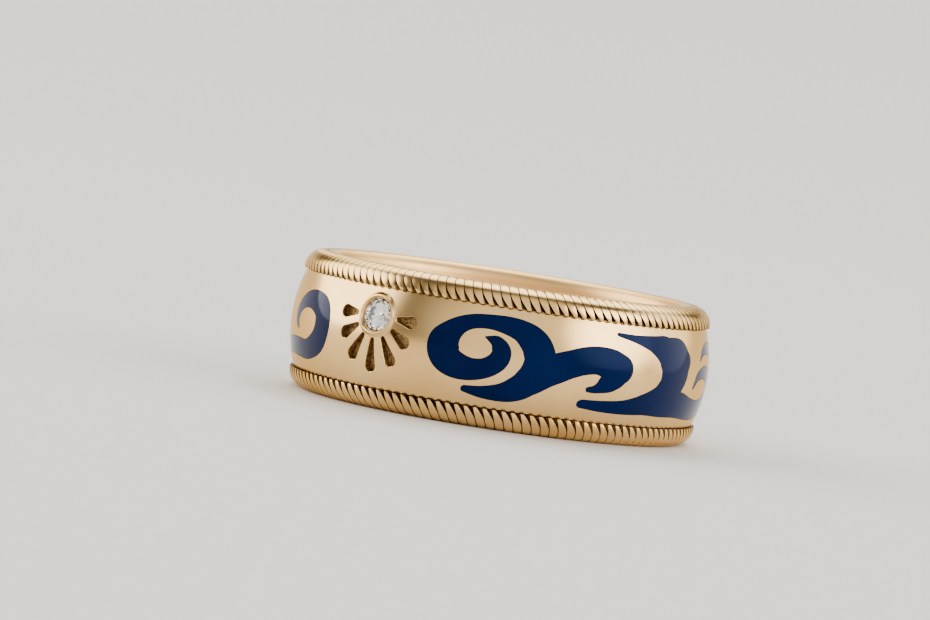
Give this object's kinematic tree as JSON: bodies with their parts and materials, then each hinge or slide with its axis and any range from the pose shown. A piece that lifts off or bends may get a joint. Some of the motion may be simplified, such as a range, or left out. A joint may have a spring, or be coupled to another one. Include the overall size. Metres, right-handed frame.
{
  "type": "enamel ring",
  "caption": "Wide finger ring: a sleeve with corded rims round a domed band that holds blue enamel scrolls and a small round stone over a fan of rays.",
  "frame": {"origin": "middle of the face that the ring lies on, on the finger axis", "axes": "+Z along the finger axis, up from the lower rim; -Y towards the front, which is the eye of the first wave scroll; the stone is 35.5 degrees from the front towards -X"},
  "size_m": [0.022, 0.022, 0.0072],
  "materials": {
    "sleeve_gold": "polished",
    "band_gold": "polished, with matte floors in the rays",
    "blue_enamel": "glossy fired enamel",
    "clear_stone": "polished facets"
  },
  "bodies": {
    "root": {"sleeve": "sleeve_gold", "band": "band_gold", "stone": "clear_stone", "enamel_wave": "blue_enamel", "enamel_crest": "blue_enamel", "enamel_curl": "blue_enamel", "enamel_wave_back": "blue_enamel", "enamel_crest_back": "blue_enamel", "enamel_curl_back": "blue_enamel"}
  },
  "joints": []
}
